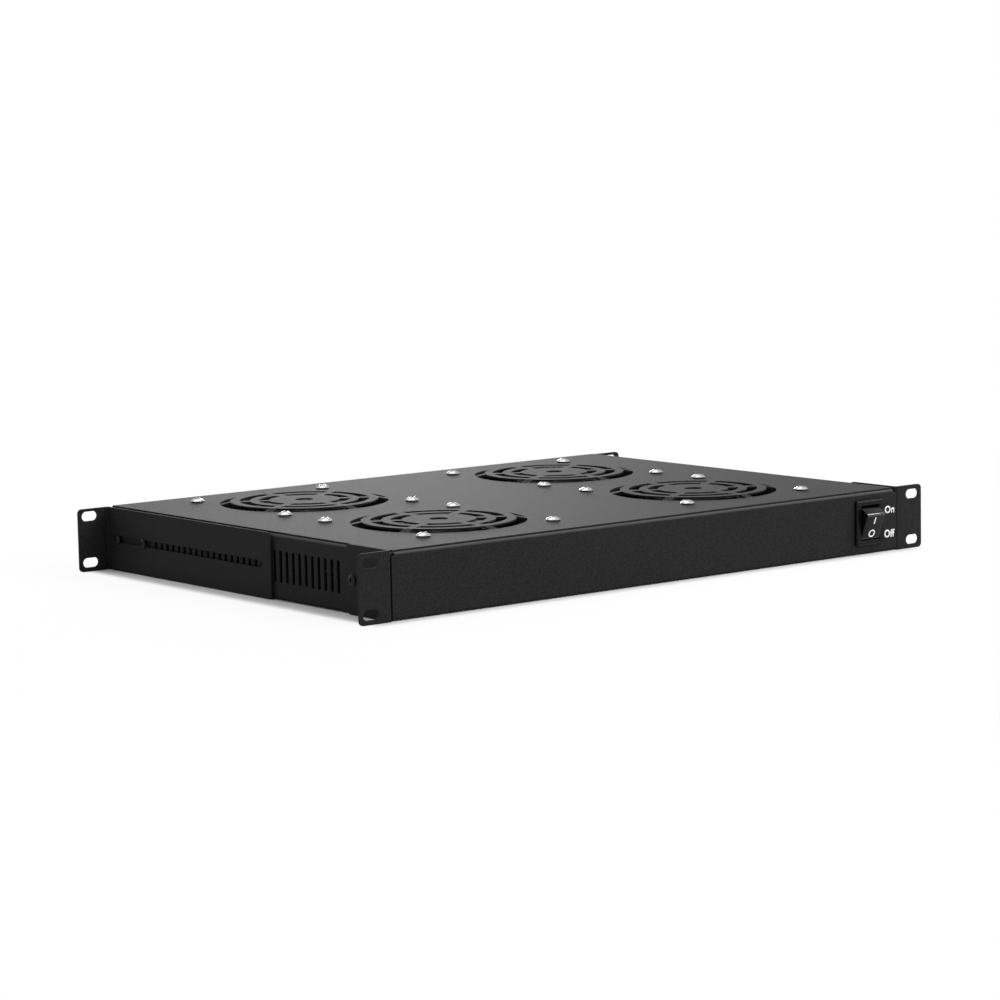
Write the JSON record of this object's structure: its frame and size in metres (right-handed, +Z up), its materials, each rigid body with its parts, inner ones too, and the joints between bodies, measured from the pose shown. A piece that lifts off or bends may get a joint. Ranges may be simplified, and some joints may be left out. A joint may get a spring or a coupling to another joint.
{
  "type": "rack fan tray",
  "caption": "Low rack-mount fan tray: folded black steel case with axial fans under raised slotted guards, front ears, sliding rear brackets and a rocker power switch.",
  "frame": {"origin": "centre of the front ears' slot pattern, on the ears' rear faces, where they seat on the rails", "axes": "+X to the right seen from the front, +Y to the rear, +Z up"},
  "size_m": [0.4826, 0.335, 0.0464],
  "materials": {
    "case_steel": "fine-textured black powder coat",
    "bright_steel": "bright nickel plating",
    "black_steel": "black oxide",
    "plain_steel": "zinc plating",
    "fan_casting": "black paint over die casting",
    "fan_plastic": "moulded black",
    "shaft_steel": "ground",
    "bearing_bronze": "sintered",
    "core_steel": "laminated",
    "winding": "enamelled wire",
    "switch_plastic": "moulded black",
    "inlet_plastic": "moulded black",
    "block_plastic": "moulded natural",
    "contact_brass": "nickel-plated brass",
    "flex_sheath": "black sheath"
  },
  "bodies": {
    "tray": {"chassis": "case_steel", "top_cover": "case_steel", "bottom_cover": "case_steel", "cover_screws": "black_steel", "front_ear_left": "case_steel", "front_ear_right": "case_steel", "front_ear_screws": "black_steel", "bracket_screws": "black_steel", "side_nuts": "plain_steel", "fan_screws": "bright_steel", "fan_1_frame": "fan_casting", "fan_1_bearing": "bearing_bronze", "fan_1_stator": "core_steel", "fan_1_coils": "winding", "fan_1_cable": "flex_sheath", "fan_2_frame": "fan_casting", "fan_2_bearing": "bearing_bronze", "fan_2_stator": "core_steel", "fan_2_coils": "winding", "fan_2_cable": "flex_sheath", "fan_3_frame": "fan_casting", "fan_3_bearing": "bearing_bronze", "fan_3_stator": "core_steel", "fan_3_coils": "winding", "fan_3_cable": "flex_sheath", "fan_4_frame": "fan_casting", "fan_4_bearing": "bearing_bronze", "fan_4_stator": "core_steel", "fan_4_coils": "winding", "fan_4_cable": "flex_sheath", "switch_housing": "switch_plastic", "switch_terminals": "contact_brass", "power_inlet": "inlet_plastic", "inlet_pins": "contact_brass", "inlet_screws": "black_steel", "terminal_block": "block_plastic", "power_cable": "flex_sheath", "feed_cable": "flex_sheath"},
    "fan_1_rotor": {"fan_1_impeller": "fan_plastic", "fan_1_shaft": "shaft_steel"},
    "fan_2_rotor": {"fan_2_impeller": "fan_plastic", "fan_2_shaft": "shaft_steel"},
    "fan_3_rotor": {"fan_3_impeller": "fan_plastic", "fan_3_shaft": "shaft_steel"},
    "fan_4_rotor": {"fan_4_impeller": "fan_plastic", "fan_4_shaft": "shaft_steel"},
    "rocker": {"switch_rocker": "switch_plastic"},
    "left_bracket": {"rear_bracket_left": "case_steel"},
    "right_bracket": {"rear_bracket_right": "case_steel"}
  },
  "joints": [
    {"name": "fan_1_spin", "type": "hinge", "parent": "tray", "child": "fan_1_rotor", "pos_m": [-0.11065, 0.08925, 0], "axis": [0, 0, 1], "continuous": true},
    {"name": "fan_2_spin", "type": "hinge", "parent": "tray", "child": "fan_2_rotor", "pos_m": [0.11065, 0.08925, 0], "axis": [0, 0, 1], "continuous": true},
    {"name": "fan_3_spin", "type": "hinge", "parent": "tray", "child": "fan_3_rotor", "pos_m": [-0.11065, 0.23995, 0], "axis": [0, 0, 1], "continuous": true},
    {"name": "fan_4_spin", "type": "hinge", "parent": "tray", "child": "fan_4_rotor", "pos_m": [0.11065, 0.23995, 0], "axis": [0, 0, 1], "continuous": true},
    {"name": "rocker_tip", "type": "hinge", "parent": "tray", "child": "rocker", "pos_m": [0.1892, 0.0002, 0], "axis": [-1, 0, 0], "range_deg": [0, 40]},
    {"name": "left_bracket_slide", "type": "slide", "parent": "tray", "child": "left_bracket", "axis": [0, 1, 0], "range_m": [-0.0041, 0.1377]},
    {"name": "right_bracket_slide", "type": "slide", "parent": "tray", "child": "right_bracket", "axis": [0, 1, 0], "range_m": [-0.0041, 0.1377]}
  ]
}
